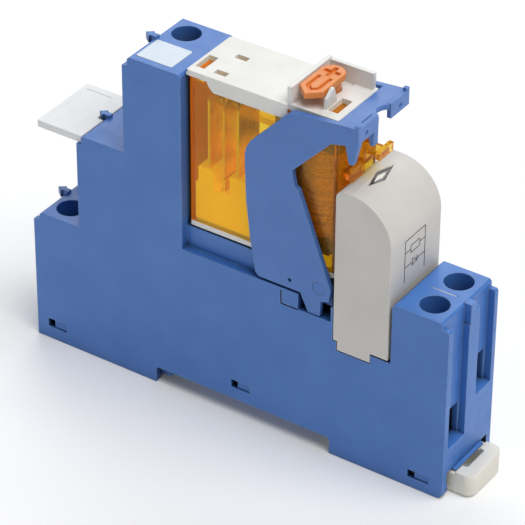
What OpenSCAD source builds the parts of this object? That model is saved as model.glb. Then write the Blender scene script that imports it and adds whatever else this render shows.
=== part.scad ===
// Plug-in interface relay: screw-terminal rail socket, relay, release clip and indicator module.
// All sizes are in millimetres. Working axes: x runs from the contact end to the coil end,
// y from the front side face (0) to the rear side face, z up from the underside.
// The whole part is then moved so that its origin is the centre of the rail seat.

/* [Socket] */
// Width of the socket, the pitch at which units stand side by side on the rail
body_w = 15.8; // [15.4:0.1:16.4]
// Height of the lowest terminal step
step1_z = 26.9; // [26.4:0.1:28.0]
// Height of the middle terminal step
step2_z = 46.3; // [45.9:0.1:46.6]
// Height of the top terminal block
step3_z = 65.7; // [65.0:0.1:66.6]
// Height of the coil terminal block
coil_z = 36.2; // [35.6:0.1:37.0]
// Radius of the screwdriver holes
hole_r = 2.62; // [2.5:0.02:2.7]
// Depth of the wire guide channels in the end faces
channel_d = 1.4; // [1.0:0.1:1.5]

/* [Rail] */
// Width of the recess that takes a 35 mm rail
rail_w = 36.7; // [36.2:0.1:37.2]
// Height of the rail seat above the underside
seat_z = 3.3; // [3.1:0.05:3.4]

/* [Terminals] */
// Radius of the terminal screw's thread
screw_r = 1.45; // [1.3:0.05:1.46]
// Radius of the terminal screw's head
head_r = 2.35; // [2.1:0.05:2.4]

/* [Relay] */
// Wall of the relay's see-through cover
cover_t = 0.8; // [0.7:0.05:0.9]
// Outer radius of the coil winding
coil_r = 4.5; // [4.1:0.1:4.6]

/* [Module] */
// Height of the module's top
module_z = 54.6; // [54.0:0.1:55.0]
// Wall of the module's case
module_t = 1.1; // [0.9:0.1:1.2]

/* [Hidden] */

e = 0.01;
mid = body_w / 2;
end_x = 86;                 // plane of the ribs on the coil end
rail_x0 = 26.4;             // fixed side of the rail recess
rail_x1 = rail_x0 + rail_w; // clip side of the rail recess
rail_cx = 44.1;             // centre line of the rail
ledge_z = 30.9;             // top of the side walls under the relay
deck_z = 35.1;              // top of the plug deck under the relay
step1_x = 1.3;              // lowest step, its plate's left edge
step2_x = 11.1;             // middle step
block_x0 = 21.4;            // top block, left face
block_x1 = 32.3;            // top block, right face
coil_x0 = 74.9;             // coil terminal block, left face
piv_x = 60.2;               // release clip pivot
piv_z = 33.6;
rel_x0 = 32.9;              // relay
rel_x1 = 62.45;
rel_y0 = mid - 6.2;
rel_y1 = mid + 6.2;
rel_z0 = 35.5;
top_z = 66.5;               // top face of the relay's white plate
btn_x = 55.8;               // test button axis
btn_y = mid + 2.2;
arm_z = 60.95;              // rounded edge of the yoke on which the armature rocks

// terminal positions: screw x, screw y, top of its hole, bottom of its cage, side its wire comes from
com = [5.2, 4.2, step1_z, 5.0, -1];
nc = [15.9, 12.0, step2_z, 27.4, -1];
no = [25.2, 12.0, step3_z, 48.0, -1];
a2 = [80.6, 4.1, coil_z, 9.9, 1];
a1 = [80.5, 12.0, coil_z, 16.2, 1];

blue = "#3f68ad";
blue_clip = "#4670b4";
amber = "#e0901e";

module place() { translate([-rail_cx, -mid, -seat_z]) children(); }
// a box from its two corners
module bx(a, b) { translate(a) cube([b[0] - a[0], b[1] - a[1], b[2] - a[2]]); }
// a flat outline in x and z, given thickness from y0 to y1
module xz(y0, y1) { translate([0, y1, 0]) rotate([90, 0, 0]) linear_extrude(y1 - y0) children(); }
// a flat outline in y and z, given thickness from x0 to x1
module yz(x0, x1) {
    translate([x0, 0, 0]) rotate([90, 0, 90]) linear_extrude(x1 - x0) children();
}
module rod(x, y, z0, z1, r, fn = 48) { translate([x, y, z0]) cylinder(h = z1 - z0, r = r, $fn = fn); }
module rod_y(x, z, y0, y1, r, fn = 40) {
    translate([x, y1, z]) rotate([90, 0, 0]) cylinder(h = y1 - y0, r = r, $fn = fn);
}
// a box with its four upright edges rounded
module rbx(a, b, r) {
    bx([a[0] + r, a[1], a[2]], [b[0] - r, b[1], b[2]]);
    bx([a[0], a[1] + r, a[2]], [b[0], b[1] - r, b[2]]);
    for (x = [a[0] + r, b[0] - r], y = [a[1] + r, b[1] - r]) rod(x, y, a[2], b[2], r, 32);
}

// ---------- contact bars ----------
// outlines in x and z; grow widens them to cut the channel they lie in
module com_line(g = 0) {
    polygon([[2.6 - g, 11.3 - g], [38 + g, 11.3 - g], [38 + g, 33.2 + g], [37.2 - g, 33.2 + g],
        [37.2 - g, 12.3 + g], [2.6 - g, 12.3 + g]]);
}
module nc_line(g = 0) {
    polygon([[13.3 - g, 33.7 - g], [19.2 - g, 33.7 - g], [19.2 - g, 23.6 - g], [41.4 + g, 23.6 - g],
        [41.4 + g, 33.2 + g], [40.6 - g, 33.2 + g], [40.6 - g, 24.6 + g], [20.2 + g, 24.6 + g],
        [20.2 + g, 34.7 + g], [13.3 - g, 34.7 + g]]);
}
module no_line(g = 0) {
    polygon([[22.6 - g, 54.3 - g], [29.2 - g, 54.3 - g], [29.2 - g, 27.2 - g], [35.5 + g, 27.2 - g],
        [35.5 + g, 33.2 + g], [34.7 - g, 33.2 + g], [34.7 - g, 28.2 + g], [30.2 + g, 28.2 + g],
        [30.2 + g, 55.3 + g], [22.6 - g, 55.3 + g]]);
}
module a2_line(g = 0) {
    polygon([[83.2 + g, 16.2 - g], [57.4 - g, 16.2 - g], [57.4 - g, 32.6 + g], [58.2 + g, 32.6 + g],
        [58.2 + g, 17.2 + g], [83.2 + g, 17.2 + g]]);
}
module a1_line(g = 0) {
    polygon([[83.1 + g, 22.5 - g], [72.6 + g, 22.5 - g], [72.6 + g, 13.0 - g], [57.4 - g, 13.0 - g],
        [57.4 - g, 32.6 + g], [58.2 + g, 32.6 + g], [58.2 + g, 14.0 + g], [71.6 - g, 14.0 + g],
        [71.6 - g, 23.5 + g], [83.1 + g, 23.5 + g]]);
}
module com_bar(g = 0) { xz(2.9 - g, 5.5 + g) com_line(g); }
module nc_bar(g = 0) { xz(10.7 - g, 13.3 + g) nc_line(g); }
module no_bar(g = 0) { xz(10.7 - g, 13.3 + g) no_line(g); }
module a2_bar(g = 0) { xz(3.4 - g, 5.2 + g) a2_line(g); }
module a1_bar(g = 0) { xz(10.7 - g, 12.6 + g) a1_line(g); }

module bus_com() color("#b5773a") place() com_bar();
module bus_nc() color("#b5773a") place() nc_bar();
module bus_no() color("#b5773a") place() no_bar();
module bus_a1() color("#b5773a") place() a1_bar();
module bus_a2() color("#b5773a") place() a2_bar();

// ---------- socket housing ----------
module side_outline() {
    difference() {
        union() {
            translate([0, 0]) square([11.1, step1_z - 1.8]);
            polygon([[step1_x, 0], [step1_x, step1_z - 0.4], [step1_x + 0.4, step1_z],
                [step2_x + 0.1, step1_z], [step2_x + 0.1, 0]]);
            translate([10.1, 10]) square([1.1, step2_z - 1.74 - 10]);
            polygon([[step2_x, 0], [step2_x, step2_z - 0.4], [step2_x + 0.4, step2_z],
                [block_x0 + 0.1, step2_z], [block_x0 + 0.1, 0]]);
            translate([20.3, 30]) square([1.2, step3_z - 1.9 - 30]);
            polygon([[block_x0, 0], [block_x0, step3_z - 0.4], [block_x0 + 0.4, step3_z],
                [block_x1 - 0.4, step3_z],
                [block_x1, step3_z - 0.4], [block_x1, 0]]);
            translate([block_x1 - e, 0]) square([coil_x0 - block_x1 + 1, ledge_z]);
            polygon([[coil_x0, 0], [coil_x0, coil_z - 0.4], [coil_x0 + 0.4, coil_z], [84.25, coil_z],
                [84.65, coil_z - 0.4], [84.65, 0]]);
            polygon([[83, 0], [83, coil_z - 1.35], [end_x - 0.3, coil_z - 1.35], [end_x, coil_z - 1.7],
                [end_x, 0.8], [end_x - 0.8, 0]]);
        }
        // rail recess, its corners eased
        polygon([[rail_x0, -1], [rail_x0, seat_z - 0.5], [rail_x0 + 0.5, seat_z], [rail_x1 - 0.5, seat_z],
            [rail_x1, seat_z - 0.5], [rail_x1, -1]]);
        // the module's seat, stepped at its lower end
        polygon([[63.3, 40], [63.3, 24.3], [64.1, 24.3], [64.1, 22.4], [70.9, 22.4], [70.9, 24.1],
            [coil_x0, 24.1], [coil_x0, 40]]);
        // pocket for the release clip's feet
        polygon([[56.25, 32], [56.25, 27.8], [62.9, 27.8], [62.9, 32]]);
    }
}
// cut that turns a plain end face into two wire guides with ribs between; d is +1 or -1 outwards
module guides(x, d, z_front, z_back, top) {
    xs = d > 0 ? [x - channel_d, x + 1] : [x + channel_d, x - 1];
    if (z_front > 0) {
        xz(1.2, 6.7) polygon([[xs[0], z_front], [xs[1], z_front - 0.15], [xs[1], top + 1], [xs[0], top + 1]]);
        xz(1.2, 7.0) polygon([[xs[0], top - 3.6], [xs[1], top - 3.6], [xs[1], top + 1], [xs[0], top + 1]]);
    }
    if (z_back > 0)
        xz(9.8, 14.8) polygon([[xs[0], z_back], [xs[1], z_back - 0.15], [xs[1], top + 1], [xs[0], top + 1]]);
}
// room for a cage clamp and its screw, with the screwdriver hole above and the wire way to the end face
module clamp_room(t) {
    x = t[0]; y = t[1]; z = t[3];
    bx([x - 2.95, y - 2.7, z - 0.25], [x + 2.95, y + 2.7, z + 14.5]);
    rod(x, y, z + 14, t[2] + 1, hole_r, 64);
    far = t[4] > 0 ? end_x + 1 : x - 7;
    bx([min(x, far), y - 0.8, z], [max(x, far), y + 2.35, z + 6.6]);
}
// one barbed hook at the top of a step's middle rib; drop is how far its head reaches down
module tag_hook(x, z, drop, y = mid) {
    bx([x - 1, y - 0.5, z - 0.9], [x + 0.8, y + 0.5, z]);
    translate([0, 0, z - 0.02 - drop]) linear_extrude(0.7 + drop)
        polygon([[x + 0.8, y - 0.5], [x - 0.5, y - 0.5], [x - 0.5, y - 0.9], [x - 1.7, y],
            [x - 0.5, y + 0.9], [x - 0.5, y + 0.5], [x + 0.8, y + 0.5]]);
}
module housing_solid() {
    // full width up to the ledge, and the plug deck between the clip's arms
    xz(0, body_w) side_outline();
    // the middle rib of the coil end stands higher than the outer two
    bx([84.5, 7.0, coil_z - 3], [end_x, 8.6, coil_z + 0.2]);
    bx([block_x1 - e, 1.6, ledge_z - 1], [62.2, body_w - 1.6, deck_z]);
    for (y = [[0.25, 1.7], [body_w - 1.7, body_w - 0.25]]) rod_y(piv_x, piv_z, y[0], y[1], 1.2);
}
module housing_cut() difference() {
    housing_solid();
    guides(end_x, 1, 9.9, 16.2, coil_z - 0.2);
    guides(0, -1, 5.0, 0, step1_z);
    guides(10.1, -1, 0, step1_z + 1.6, step2_z);
    guides(20.3, -1, 0, 48.0, step3_z);
    for (t = [com, nc, no, a2, a1]) clamp_room(t);
    // channels for the contact bars
    com_bar(0.08); nc_bar(0.08); no_bar(0.08); a2_bar(0.08); a1_bar(0.08);
    // slots that take the relay's pins
    bx([37.9, 2.7, 29], [39.4, 5.7, 36]);
    bx([41.3, 10.4, 29], [42.8, 13.5, 36]);
    bx([35.4, 10.4, 29], [36.9, 13.5, 36]);
    bx([58.1, 3.2, 28], [59.4, 5.4, 36]);
    bx([58.1, 10.5, 28], [59.4, 12.7, 36]);
    // slots beside the deck for the clip's lifting noses
    for (y = [[1.5, 2.45], [body_w - 2.45, body_w - 1.5]]) bx([56.4, y[0], 32.6], [59.2, y[1], 36]);
    // grooves round the two small side tabs
    for (y = [[-1, 0.35], [body_w - 0.35, body_w + 1]]) difference() {
        bx([52.7, y[0], 27.6], [56.3, y[1], 30.5]);
        bx([53.0, y[0] - 1, 27.9], [56.4, y[1] + 1, 31]);
    }
    // the two ways down for the module's pins
    bx([66.6, 4.6, 15], [68.0, 6.6, 26]);
    bx([66.6, 9.6, 15], [68.0, 11.2, 26]);
    // the deck is cut back behind the clip's arms and feet
    for (y = [[-1, 1.6], [body_w - 1.6, body_w + 1]])
        bx([56.25, y[0], 27.8], [62.9, y[1], 31.2]);
    // underside: room for the base, the rail clip and its channel
    bx([1.5, 1.4, -1], [25.4, body_w - 1.4, 2.2]);
    bx([24.6, 1.4, -1], [rail_x1 + 1.4, body_w - 1.4, 5.0]);
    bx([61.5, 1.4, -1], [84.5, body_w - 1.4, 6.7]);
    bx([84.3, 1.7, -1], [end_x + 1, body_w - 1.7, 4.9]);
    bx([1.5, 1.4, 2], [8.2, 2.4, 4.4]);
    bx([1.5, body_w - 2.4, 2], [8.2, body_w - 1.4, 4.4]);
    bx([41.4, 1.4, 4.8], [47.6, 2.4, 7.6]);
    bx([41.4, body_w - 2.4, 4.8], [47.6, body_w - 1.4, 7.6]);
    // snap windows along the lower edge
    for (w = [[2.4, 6.5, 2.5, 4.3], [42.6, 46.5, 5.7, 7.35], [79.0, 83.2, 2.0, 3.6]]) {
        bx([w[0], -1, w[2]], [w[1], 1.5, w[3]]);
        bx([w[0], body_w - 1.5, w[2]], [w[1], body_w + 1, w[3]]);
    }
    // notches beside the rail clip's way out
    for (y = [[1.3, 2.4], [body_w - 2.4, body_w - 1.3]]) bx([84.9, y[0], 2.4], [end_x + 1, y[1], 4.9]);
    // seat for the marker label on the top block
    bx([22.3, 1.3, step3_z - 0.45], [29.7, 7.6, step3_z + 1]);
    // shallow dividing line between the two coil screws
    bx([77.4, 8.0, coil_z - 0.12], [82.6, 8.2, coil_z + 1]);
}
module socket_housing() color(blue) place() {
    housing_cut();
    // hooks that hold tags on the three contact steps
    tag_hook(step1_x, step1_z - 0.1, 0.7);
    tag_hook(step2_x, step2_z - 0.1, 0);
    tag_hook(block_x0, step3_z - 0.1, 0.7);
}

// ---------- socket base with the fixed rail hook ----------
module base_tongue(x0, x1, z0, z1, root) {
    for (m = [0, 1]) translate([0, m * body_w, 0]) mirror([0, m, 0]) {
        bx([x0 - 0.9, 1.5, root], [x1 + 0.4, 2.3, z1]);
        bx([x0, 0.3, z0], [x1, 1.6, z1]);
    }
}
module socket_base() color("#375f9f") place() difference() {
    union() {
        // the rail lies on a land that ends just short of both hooks
        xz(1.5, body_w - 1.5) polygon([[1.6, 0.2], [26.3, 0.2], [26.3, 1.0], [28.5, 1.0], [28.9, 1.5],
            [28.5, 2.1], [26.3, 2.1], [26.3, seat_z + 0.2], [29.2, seat_z + 0.2], [29.2, seat_z],
            [60.1, seat_z], [60.1, seat_z + 0.2], [62.9, seat_z + 0.2], [62.9, 5.3], [84.4, 5.3],
            [84.4, 6.6], [61.7, 6.6], [61.7, 4.9], [24.7, 4.9], [24.7, 2.1], [1.6, 2.1]]);
        base_tongue(3.7, 6.4, 2.6, 4.2, 1.9);
        base_tongue(43.8, 46.4, 5.8, 7.25, 4.8);
        base_tongue(80.3, 83.1, 2.1, 3.5, 2.0);
        for (y = [[1.5, 2.3], [body_w - 2.3, body_w - 1.5]]) bx([79.4, y[0], 2.0], [83.5, y[1], 5.4]);
        // lip over the rail clip's way out
        xz(3.3, 12.5) polygon([[83.5, 5.4], [83.5, 4.35], [end_x + 0.6, 4.35], [end_x + 0.6, 4.5],
            [end_x + 0.1, 4.8], [84.4, 4.8], [84.4, 5.4]]);
    }
    // slot that guides the rail clip's rib
    bx([66, 7.1, 4.9], [80, 8.7, 5.9]);
}

// ---------- rail clip ----------
module rail_clip() color("#e6e2d6") place() difference() {
    union() {
        // sprung nose that takes hold of the rail's edge
        xz(2.7, 13.1) polygon([[60.4, 1.3], [61.0, 0.5], [66.5, 0.5], [66.5, 3.2], [63.2, 3.2], [63.2, 2.1],
            [60.8, 2.1]]);
        bx([63.3, 2.7, 0.5], [84.0, 13.1, 4.2]);
        rbx([80.0, 2.7, 0.5], [90.2, 13.1, 4.2], 1.6);
        intersection() {
            rbx([80.0, 2.7, 0.5], [90.2, 13.1, 4.65], 1.6);
            bx([86.9, 0, 0], [92, 20, 6]);
        }
        bx([67.0, 7.3, 4.2], [77.0, 8.5, 5.6]);
    }
    // slots that leave two long springy arms
    bx([68.2, 4.7, -1], [78.5, 6.3, 4.1]);
    bx([68.2, 9.5, -1], [78.5, 11.1, 4.1]);
    // window of the pull handle
    rbx([82.4, 5.0, -1], [87.9, 10.8, 6], 0.5);
    // the handle's top edge is eased
    xz(0, 16) polygon([[89.6, 5.2], [90.6, 5.2], [90.6, 3.9]]);
}

// ---------- label and tag ----------
module marker_label() color("#e8eef4") place()
    rbx([22.32, 1.32, step3_z - 0.45], [29.68, 7.58, step3_z + 0.06], 0.3);
module id_tag() color("#f2f1ec") place() difference() {
    union() {
        rbx([1.25, 0.5, 44.6], [10.85, body_w - 0.5, 45.95], 0.25);
        bx([10.25, 10.2, 42.0], [11.0, 14.4, 45]);
    }
    // the hook's neck stands in this notch
    bx([9.6, mid - 0.95, 44], [12, mid + 0.95, 47]);
    // shallow writing field
    bx([2.2, 2.0, 45.85], [8.0, body_w - 2.0, 47]);
}

// ---------- terminal screws and cages ----------
module screw_at(t) {
    x = t[0]; y = t[1]; z = t[3];
    difference() {
        union() {
            rod(x, y, z + 7.6, z + 12.2, screw_r, 40);
            rod(x, y, z + 12, z + 13.8, head_r, 48);
            translate([x, y, z + 13.8]) cylinder(h = 0.35, r1 = head_r, r2 = head_r - 0.3, $fn = 48);
            translate([x, y, z + 7.45]) cylinder(h = 0.3, r1 = screw_r - 0.35, r2 = screw_r, $fn = 40);
        }
        // slot and cross recess
        bx([x - 2.6, y - 0.36, z + 13.1], [x + 2.6, y + 0.36, z + 15]);
        bx([x - 0.34, y - 1.35, z + 12.9], [x + 0.34, y + 1.35, z + 15]);
    }
}
module screw_com() color("#c9c6b8") place() screw_at(com);
module screw_nc() color("#c9c6b8") place() screw_at(nc);
module screw_no() color("#c9c6b8") place() screw_at(no);
module screw_a1() color("#c9c6b8") place() screw_at(a1);
module screw_a2() color("#c9c6b8") place() screw_at(a2);
module cage_at(t) {
    x = t[0]; y = t[1]; z = t[3];
    difference() {
        rbx([x - 2.6, y - 2.5, z], [x + 2.6, y + 2.5, z + 9.6], 0.45);
        bx([x - 4, y - 1.65, z + 1.0], [x + 4, y + 1.65, z + 8.3]);
        rod(x, y, z + 8, z + 10, screw_r + 0.05, 40);
    }
    // grip teeth on the floor of the cage
    for (i = [-1, 0, 1]) xz(y - 1.6, y + 1.6)
        polygon([[x + i * 1.4 - 0.35, z + 0.95], [x + i * 1.4, z + 1.35], [x + i * 1.4 + 0.35, z + 0.95]]);
}
module cage_com() color("#a9adb0") place() cage_at(com);
module cage_nc() color("#a9adb0") place() cage_at(nc);
module cage_no() color("#a9adb0") place() cage_at(no);
module cage_a1() color("#a9adb0") place() cage_at(a1);
module cage_a2() color("#a9adb0") place() cage_at(a2);

// ---------- release clip ----------
module arm_outline(toothed) {
    difference() {
        union() {
            if (toothed) polygon([[64.9, 63.6], [65.6, 60.3], [66.4, 60.3], [67.4, 64.2], [67.4, 65.4],
                [64.9, 65.4]]);
            polygon([[45.2, 54.8], [45.5, 46.0], [46.4, 38.2], [47.5, 31.9], [48.2, 31.35], [56.6, 31.35],
                [58.2, 27.95], [60.5, 27.95], [60.7, 31.0], [62.3, 31.6], [62.5, 34.2], [55.9, 51.6],
                [55.2, 52.0], [54.6, 55.0], [62.1, 62.9], [64.9, 63.6], [67.4, 64.6],
                [67.4, 67.4], [54.2, 66.2], [53.0, 65.0], [46.4, 58.0], [45.5, 56.4]]);
            translate([piv_x, piv_z]) circle(r = 2.35, $fn = 48);
        }
        translate([piv_x, piv_z]) circle(r = 1.26, $fn = 40);
        translate([54.4, 33.0]) circle(r = 0.4, $fn = 24);
    }
}
module release_clip() color(blue_clip) place() {
    difference() {
        union() {
            xz(0.2, 1.2) arm_outline(true);
            xz(body_w - 1.2, body_w - 0.2) arm_outline(false);
            // bridge over the relay's end, with two lugs
            difference() {
                xz(0.2, body_w - 0.2) polygon([[62.9, 66.05], [67.4, 66.35], [67.4, 67.4], [62.9, 67.0]]);
                // scoop between the lugs
                bx([67.0, 6.1, 60], [70, 10.0, 70]);
                rod(68.0, 8.05, 60, 70, 1.95, 32);
                // finger slot near the front lug
                bx([66.3, 2.6, 60], [66.9, 5.6, 70]);
            }
            // the lugs' end faces
            for (y = [[0.2, 6.1], [10.0, body_w - 0.2]]) bx([66.6, y[0], 64.6], [67.4, y[1], 67.4]);
            for (y = [[0.2, 1.0], [body_w - 1.0, body_w - 0.2]]) bx([66.6, y[0], 67.2], [67.4, y[1], 67.9]);
            // second tooth under the front lug
            xz(5.6, 6.9) polygon([[65.2, 66.3], [66.2, 61.3], [66.9, 61.3], [67.0, 66.4]]);
            // bosses round the pivot and noses that lift the relay
            for (y = [[1.1, 2.3], [body_w - 2.3, body_w - 1.1]])
                xz(y[0], y[1]) polygon([[56.7, 33.4], [58.6, 32.9], [58.6, 34.6], [57.2, 35.2], [56.7, 35.2]]);
        }
        // thumb dimples on the end faces of the lugs
        for (y = [2.6, 12.9]) translate([67.5, y, 65.7]) rotate([0, -90, 0]) cylinder(h = 0.4, r = 0.5, $fn = 24);
    }
}

// ---------- relay ----------
module relay_base() color("#eeece4") place() difference() {
    union() {
        rbx([rel_x0, rel_y0, rel_z0], [rel_x1 - 0.1, rel_y1, 36.45], 0.5);
        bx([34, rel_y0 + 1, 36.4], [61.4, rel_y1 - 1, 37.0]);
    }
    bx([38.4, 2.9, 35], [39.3, 5.5, 38]);
    bx([41.7, 10.7, 35], [42.4, 13.3, 38]);
    bx([35.8, 10.7, 35], [36.5, 13.3, 38]);
    bx([58.3, 3.3, 35], [59.1, 4.6, 38]);
    bx([58.3, 11.2, 35], [59.1, 12.5, 38]);
}
module relay_insulator() color("#e3b41f") place() difference() {
    union() {
        bx([33.8, 2.6, 37.02], [34.5, 12.8, 44.3]);
        bx([34.4, 2.6, 37.02], [37.5, 12.8, 47.6]);
        bx([37.4, 2.6, 37.02], [40.9, 12.8, 43.9]);
        bx([40.8, 2.6, 37.02], [44.8, 12.8, 47.7]);
        bx([44.7, 2.6, 37.02], [47.2, 12.8, 50.2]);
        bx([46.4, 2.6, 37.02], [61.0, 12.8, 38.9]);
    }
    bx([35.7, 3.2, 36], [36.5, 13.4, 49]);
    bx([38.2, 3.0, 36], [39.5, 10.1, 46]);
    bx([41.6, 3.2, 36], [42.4, 13.4, 50]);
    bx([50.1, 3.7, 36.5], [61.4, 12.1, 39]);
    bx([57.9, 3.3, 36], [59.2, 5.3, 39]);
    bx([57.9, 10.5, 36], [59.2, 12.6, 39]);
}
module relay_cover() color(amber, 0.45) place() difference() {
    union() {
        rbx([rel_x0, rel_y0, 36.5], [rel_x1, rel_y1, 65.45], 0.5);
        // rim that shows below the white plate at the clip's end
        rbx([53.2, rel_y0 - 0.2, 64.5], [62.75, rel_y1 + 0.2, 65.45], 0.6);
        // catches on the end wall, one above the other
        bx([rel_x1 - 0.2, 6.2, 56.6], [64.8, 9.8, 59.9]);
        bx([64.6, 6.8, 58.7], [68.0, 9.2, 59.7]);
        bx([67.2, 5.9, 58.7], [68.0, 10.1, 60.4]);
        bx([rel_x1 - 0.2, 3.3, 54.7], [64.4, 7.0, 56.0]);
        bx([64.0, 3.3, 54.7], [64.6, 7.0, 57.3]);
    }
    bx([rel_x0 + cover_t, rel_y0 + cover_t, 30], [rel_x1 - cover_t, rel_y1 - cover_t, 64.6]);
    rod(btn_x, btn_y, 60, 70, 1.68);
    bx([rel_x0 + 1.2, rel_y0 + cover_t + 0.8, 64], [rel_x0 + 2.4, 9, 66]);
}
module skirt_outline() {
    polygon([[32.65, 66], [32.65, 65.5], [36.8, 65.45], [37.1, 64.7], [38.1, 63.7], [52.4, 63.7], [52.7, 64.0],
        [52.7, 66]]);
}
module relay_top() color("#f1f0ea") place() difference() {
    union() {
        rbx([32.65, rel_y0 - 0.38, 65.47], [52.75, rel_y1 + 0.38, top_z], 0.5);
        rbx([50, rel_y0 + 0.03, 65.47], [62.5, rel_y1 - 0.03, top_z], 0.6);
        xz(rel_y0 - 0.38, rel_y0 - 0.04) skirt_outline();
        xz(rel_y1 + 0.04, rel_y1 + 0.38) skirt_outline();
        // walls that shield the test button
        bx([52.55, rel_y0 + 0.05, top_z - 0.2], [53.35, rel_y1 - 0.05, 69.8]);
        bx([52.55, rel_y1 - 0.85, top_z - 0.2], [61.9, rel_y1 - 0.05, 69.6]);
        // rim round the sunk floor
        bx([53.3, rel_y0 + 0.05, top_z - 0.2], [62.4, rel_y0 + 0.65, top_z + 0.12]);
        bx([61.8, rel_y0 + 0.05, top_z - 0.2], [62.4, rel_y1 - 0.05, top_z + 0.12]);
        // break-off pip that stops the button from being turned
        yz(58.35, 58.95) polygon([[3.6, 66.4], [3.9, 68.4], [5.5, 69.6], [6.0, 69.6], [6.9, 66.4]]);
    }
    bx([33.25, 3.1, 60], [35.1, 7.3, 70]);
    bx([37.0, 3.0, 60], [39.4, 4.2, 70]);
    bx([37.1, 9.0, 60], [39.5, 10.2, 70]);
    bx([59.05, 3.8, 60], [61.0, 8.3, 70]);
    rod(btn_x, btn_y, 60, 68, 1.68);
    // sunk floor round the button
    bx([53.3, rel_y0 + 0.6, top_z - 0.25], [58.3, rel_y1 - 0.8, top_z + 0.5]);
}
module button_outline() {
    polygon([[btn_x - 2.2, btn_y], [btn_x - 2.3, 3.9], [btn_x, 1.8], [btn_x + 2.3, 3.9], [btn_x + 2.2, btn_y]]);
    translate([btn_x, btn_y]) circle(r = 2.3, $fn = 48);
}
module test_button() color("#e77a2e") place() difference() {
    union() {
        translate([0, 0, 68.4]) linear_extrude(1.15) button_outline();
        rod(btn_x, btn_y, 62.75, 68.5, 1.6);
    }
    // cross recess and a sunk arrow
    bx([btn_x - 1.5, btn_y - 0.36, 68.95], [btn_x + 1.5, btn_y + 0.36, 70]);
    bx([btn_x - 0.36, btn_y - 1.5, 68.95], [btn_x + 0.36, btn_y + 1.5, 70]);
    translate([0, 0, 69.0]) linear_extrude(1) difference() {
        polygon([[btn_x - 1.35, 8.1], [btn_x - 1.35, 4.4], [btn_x, 3.1], [btn_x + 1.35, 4.4],
            [btn_x + 1.35, 8.1]]);
        polygon([[btn_x - 0.8, 9], [btn_x - 0.8, 4.7], [btn_x, 3.9], [btn_x + 0.8, 4.7], [btn_x + 0.8, 9]]);
    }
}

// coil and magnet
module coil_bobbin() color("#3c3a36") place() difference() {
    union() {
        rbx([52.3, 3.0, 40.6], [61.5, 12.8, 41.5], 0.8);
        rbx([52.3, 3.0, 59.2], [61.5, 12.8, 60.1], 0.8);
        rod(56.9, mid, 41, 59.6, 2.5);
        bx([57.2, 3.0, 38.95], [60.6, 12.8, 40.7]);
    }
    rod(56.9, mid, 30, 70, 1.76);
    bx([53, 4.2, 38], [61, 11.6, 40.5]);
    bx([58.2, 3.3, 38], [59.2, 5.3, 40.4]);
    bx([58.2, 10.5, 38], [59.2, 12.6, 40.4]);
}
module coil_winding() color("#b9662a") place() difference() {
    union() {
        rod(56.9, mid, 41.52, 59.18, coil_r - 0.16, 64);
        for (i = [0:16]) translate([56.9, mid, 42.1 + i * 1.03]) rotate_extrude($fn = 64)
            translate([coil_r - 0.32, 0]) circle(r = 0.3, $fn = 16);
    }
    rod(56.9, mid, 40, 60, 2.51);
}
module coil_core() color("#8f9296") place() {
    rod(56.9, mid, 39.1, 60.1, 1.7);
    rod(56.9, mid, 60.12, 60.4, 2.9);
    rod(56.9, mid, 60, 60.2, 1.7);
}
module coil_yoke() color("#55585c") place() difference() {
    union() {
        bx([50.3, 4.6, 37.4], [59.5, 11.2, 39.08]);
        bx([50.3, 3.9, 37.4], [51.6, 11.9, 60.9]);
        rod_y(50.7, arm_z, 5.2, 10.6, 0.2);
    }
    rod(56.9, mid, 38.9, 41, 1.75);
}
module coil_pins() color("#c9c4ae") place() {
    bx([58.4, 3.4, 30.0], [59.0, 4.5, 40.2]);
    bx([58.4, 11.3, 30.0], [59.0, 12.4, 40.2]);
}
module armature() color("#85898d") place() difference() {
    union() {
        bx([49.4, 4.4, 61.2], [60.9, 11.4, 62.1]);
        bx([48.7, 4.4, 54.4], [49.5, 11.4, 62.1]);
    }
    bx([59.3, 3, 60], [61.5, 5.6, 64]);
}
module armature_spring() color("#c7c2a6") place() {
    bx([51.62, 6.4, 47.0], [51.84, 9.4, 60.6]);
    bx([51.62, 6.4, 60.4], [52.0, 9.4, 60.8]);
}
module pusher() color("#d9a91e") place() {
    bx([39.35, 9.9, 55.2], [48.45, 11.1, 56.4]);
    bx([39.35, 9.9, 54.4], [40.1, 11.1, 57.2]);
    bx([47.4, 8.6, 54.6], [48.45, 11.1, 57.0]);
}
module flag() color("#d8502a") place() {
    bx([59.0, 6.2, 62.12], [60.8, 8.6, 64.2]);
}
module blade_no() color("#d8b04a") place()
    yz(35.9, 36.35) polygon([[10.9, 29.8], [13.1, 29.8], [13.1, 41], [9.4, 43], [9.4, 60.8], [9.0, 61.2],
        [3.7, 61.2], [3.3, 60.8], [3.3, 39.6], [10.9, 39.6]]);
module blade_nc() color("#d8b04a") place()
    yz(41.8, 42.25) polygon([[10.9, 29.8], [13.1, 29.8], [13.1, 41], [9.4, 43], [9.4, 60.8], [9.0, 61.2],
        [3.7, 61.2], [3.3, 60.8], [3.3, 39.6], [10.9, 39.6]]);
module blade_com() color("#cfa23c") place()
    yz(38.85, 39.1) polygon([[3.6, 46.2], [10.0, 46.2], [10.0, 52], [11.2, 53.4], [11.2, 57.6], [10.0, 58.6],
        [10.0, 60.6], [9.6, 61.0], [4.6, 61.0], [3.6, 60.0]]);
module moving_rivets() color("#d9dadb") place() {
    for (s = [[37.95, 38.85], [39.1, 40.0]]) translate([s[0], 7.6, 59.4]) rotate([0, 90, 0])
        cylinder(h = s[1] - s[0], r = 1.35, $fn = 32);
}
module fixed_rivets() color("#d9dadb") place() {
    translate([36.35, 7.6, 59.4]) rotate([0, 90, 0]) cylinder(h = 0.75, r = 1.5, $fn = 32);
    translate([40.1, 7.6, 59.4]) rotate([0, 90, 0]) cylinder(h = 1.7, r = 1.5, $fn = 32);
}
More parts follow.
